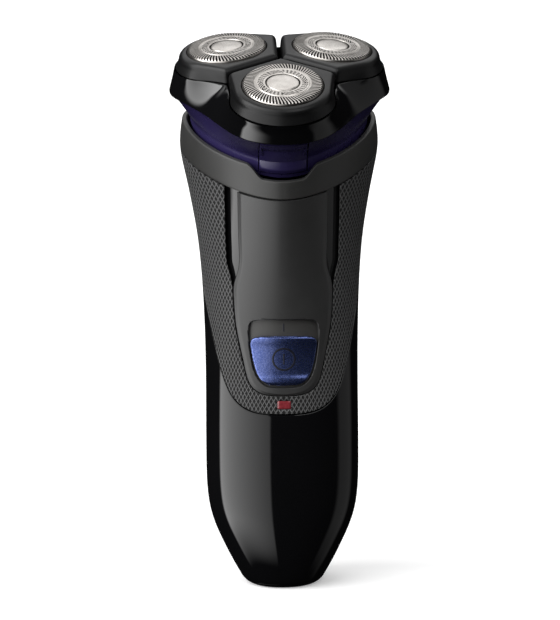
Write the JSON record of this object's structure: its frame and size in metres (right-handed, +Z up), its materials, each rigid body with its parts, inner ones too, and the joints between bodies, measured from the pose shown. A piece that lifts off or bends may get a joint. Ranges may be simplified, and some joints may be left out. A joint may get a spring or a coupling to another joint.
{
  "type": "rotary shaver",
  "caption": "Upright cordless rotary shaver with floating round foils in a forward-leaning pivoting head, knurled grip and sliding switch.",
  "frame": {"origin": "bottom centre of the bounding box, on the flat end the shaver stands on", "axes": "+Z up along the handle; the front, with the switch and the lowest foil, faces -Y; +X to the viewer's right seen from the front"},
  "size_m": [0.0613, 0.0576, 0.1552],
  "materials": {
    "shell_gloss": "high gloss black",
    "grip_rubber": "diamond-knurled black rubber",
    "panel_satin": "satin dark grey",
    "collar_matte": "fine matte dark grey",
    "neck_indigo": "glossy dark indigo",
    "switch_blue": "metallic blue",
    "indicator_red": "clear red tint",
    "head_gloss": "high gloss black",
    "petal_satin": "satin black",
    "foil_steel": "fine brushed steel",
    "cutter_steel": "ground steel",
    "spindle_steel": "turned steel",
    "resin_white": "natural white resin",
    "board_green": "solder mask green",
    "part_black": "moulded black",
    "cell_wrap": "shrink-wrapped cell",
    "pin_brass": "plated"
  },
  "bodies": {
    "handle": {"front_shell": "shell_gloss", "rear_shell": "shell_gloss", "base_cap": "shell_gloss", "charging_socket": "part_black", "socket_pin_left": "pin_brass", "socket_pin_right": "pin_brass", "grip": "grip_rubber", "front_panel": "panel_satin", "indicator_lens": "indicator_red", "collar": "collar_matte", "inner_frame": "resin_white", "battery_cell": "cell_wrap", "battery_tab_lower": "spindle_steel", "battery_tab_upper": "spindle_steel", "circuit_board": "board_green", "mode_switch": "part_black", "indicator_led": "resin_white", "control_chip": "part_black", "motor_can": "spindle_steel", "motor_end_cap": "resin_white", "pivot_deck": "part_black", "deck_screw_left": "spindle_steel", "deck_screw_right": "spindle_steel"},
    "switch": {"slide_switch": "switch_blue"},
    "motor_rotor": {"motor_shaft": "spindle_steel"},
    "gimbal": {"gimbal_ring": "resin_white"},
    "neck": {"neck_shell": "neck_indigo", "gear_tray": "resin_white", "gear_cover": "part_black", "hinge_pin": "spindle_steel"},
    "release": {"release_button": "neck_indigo"},
    "sun": {"sun_gear": "resin_white", "drive_cup": "spindle_steel"},
    "head": {"head_frame": "head_gloss", "cutter_retainer": "part_black"},
    "spindle_front": {"drive_gear_front": "resin_white", "drive_spindle_front": "spindle_steel"},
    "petal_front": {"petal_front": "petal_satin"},
    "foil_front": {"foil_front": "foil_steel", "foil_disc_front": "foil_steel"},
    "cutter_front": {"cutter_front": "cutter_steel", "cutter_hub_front": "resin_white"},
    "spindle_right": {"drive_gear_right": "resin_white", "drive_spindle_right": "spindle_steel"},
    "petal_right": {"petal_right": "petal_satin"},
    "foil_right": {"foil_right": "foil_steel", "foil_disc_right": "foil_steel"},
    "cutter_right": {"cutter_right": "cutter_steel", "cutter_hub_right": "resin_white"},
    "spindle_left": {"drive_gear_left": "resin_white", "drive_spindle_left": "spindle_steel"},
    "petal_left": {"petal_left": "petal_satin"},
    "foil_left": {"foil_left": "foil_steel", "foil_disc_left": "foil_steel"},
    "cutter_left": {"cutter_left": "cutter_steel", "cutter_hub_left": "resin_white"}
  },
  "joints": [
    {"name": "switch_slide", "type": "slide", "parent": "handle", "child": "switch", "axis": [0, -0.04, 0.9992], "range_m": [0, 0.004]},
    {"name": "motor_spin", "type": "hinge", "parent": "handle", "child": "motor_rotor", "pos_m": [0, 0.0066, 0.12699], "axis": [0, 0, 1], "continuous": true},
    {"name": "head_pitch", "type": "hinge", "parent": "handle", "child": "gimbal", "pos_m": [0, 0.0066, 0.12699], "axis": [1, 0, 0], "range_deg": [-2, 2], "stiffness_Nm_per_rad": 0.8},
    {"name": "head_roll", "type": "hinge", "parent": "gimbal", "child": "neck", "pos_m": [0, 0.0066, 0.12699], "axis": [0, 0.9367, 0.3502], "range_deg": [-2, 2], "stiffness_Nm_per_rad": 0.8},
    {"name": "release_press", "type": "slide", "parent": "neck", "child": "release", "axis": [0, 0.9367, 0.3502], "range_m": [0, 0.0008], "stiffness_N_per_m": 600, "springref_m": -0.0005},
    {"name": "sun_spin", "type": "hinge", "parent": "neck", "child": "sun", "pos_m": [0, 0.0066, 0.12699], "axis": [0, -0.3502, 0.9367], "continuous": true},
    {"name": "head_open", "type": "hinge", "parent": "neck", "child": "head", "pos_m": [0, 0.0248, 0.1457], "axis": [-1, 0, 0], "range_deg": [0, 100]},
    {"name": "spindle_spin_front", "type": "hinge", "parent": "neck", "child": "spindle_front", "pos_m": [0, -0.01146, 0.12931], "axis": [0, -0.3502, 0.9367], "continuous": true},
    {"name": "petal_flex_front", "type": "hinge", "parent": "head", "child": "petal_front", "pos_m": [0, -0.01443, 0.13678], "axis": [1, 0, 0], "range_deg": [-2, 2], "stiffness_Nm_per_rad": 0.12},
    {"name": "foil_float_front", "type": "slide", "parent": "petal_front", "child": "foil_front", "axis": [0, -0.4462, 0.8949], "range_m": [-0.0015, 0], "stiffness_N_per_m": 500, "springref_m": 0.001},
    {"name": "cutter_spin_front", "type": "hinge", "parent": "foil_front", "child": "cutter_front", "pos_m": [0, -0.01755, 0.14305], "axis": [0, -0.4462, 0.8949], "continuous": true},
    {"name": "spindle_spin_right", "type": "hinge", "parent": "neck", "child": "spindle_right", "pos_m": [0.01394, 0.01116, 0.13777], "axis": [0, -0.3502, 0.9367], "continuous": true},
    {"name": "petal_flex_right", "type": "hinge", "parent": "head", "child": "petal_right", "pos_m": [0.01409, 0.00843, 0.14533], "axis": [-0.5, 0.8112, 0.3033], "range_deg": [-2, 2], "stiffness_Nm_per_rad": 0.12},
    {"name": "foil_float_right", "type": "slide", "parent": "petal_right", "child": "foil_right", "axis": [0.0905, -0.2993, 0.9498], "range_m": [-0.0015, 0], "stiffness_N_per_m": 500, "springref_m": 0.001},
    {"name": "cutter_spin_right", "type": "hinge", "parent": "foil_right", "child": "cutter_right", "pos_m": [0.01472, 0.00633, 0.15198], "axis": [0.0905, -0.2993, 0.9498], "continuous": true},
    {"name": "spindle_spin_left", "type": "hinge", "parent": "neck", "child": "spindle_left", "pos_m": [-0.01394, 0.01116, 0.13777], "axis": [0, -0.3502, 0.9367], "continuous": true},
    {"name": "petal_flex_left", "type": "hinge", "parent": "head", "child": "petal_left", "pos_m": [-0.01409, 0.00843, 0.14533], "axis": [-0.5, -0.8112, -0.3033], "range_deg": [-2, 2], "stiffness_Nm_per_rad": 0.12},
    {"name": "foil_float_left", "type": "slide", "parent": "petal_left", "child": "foil_left", "axis": [-0.0905, -0.2993, 0.9498], "range_m": [-0.0015, 0], "stiffness_N_per_m": 500, "springref_m": 0.001},
    {"name": "cutter_spin_left", "type": "hinge", "parent": "foil_left", "child": "cutter_left", "pos_m": [-0.01472, 0.00633, 0.15198], "axis": [-0.0905, -0.2993, 0.9498], "continuous": true}
  ],
  "couplings": [
    {"joint": "motor_spin", "follows": "sun_spin", "ratio": 1},
    {"joint": "spindle_spin_front", "follows": "sun_spin", "ratio": -1.3},
    {"joint": "cutter_spin_front", "follows": "sun_spin", "ratio": -1.3},
    {"joint": "spindle_spin_right", "follows": "sun_spin", "ratio": -1.3},
    {"joint": "cutter_spin_right", "follows": "sun_spin", "ratio": -1.3},
    {"joint": "spindle_spin_left", "follows": "sun_spin", "ratio": -1.3},
    {"joint": "cutter_spin_left", "follows": "sun_spin", "ratio": -1.3}
  ]
}
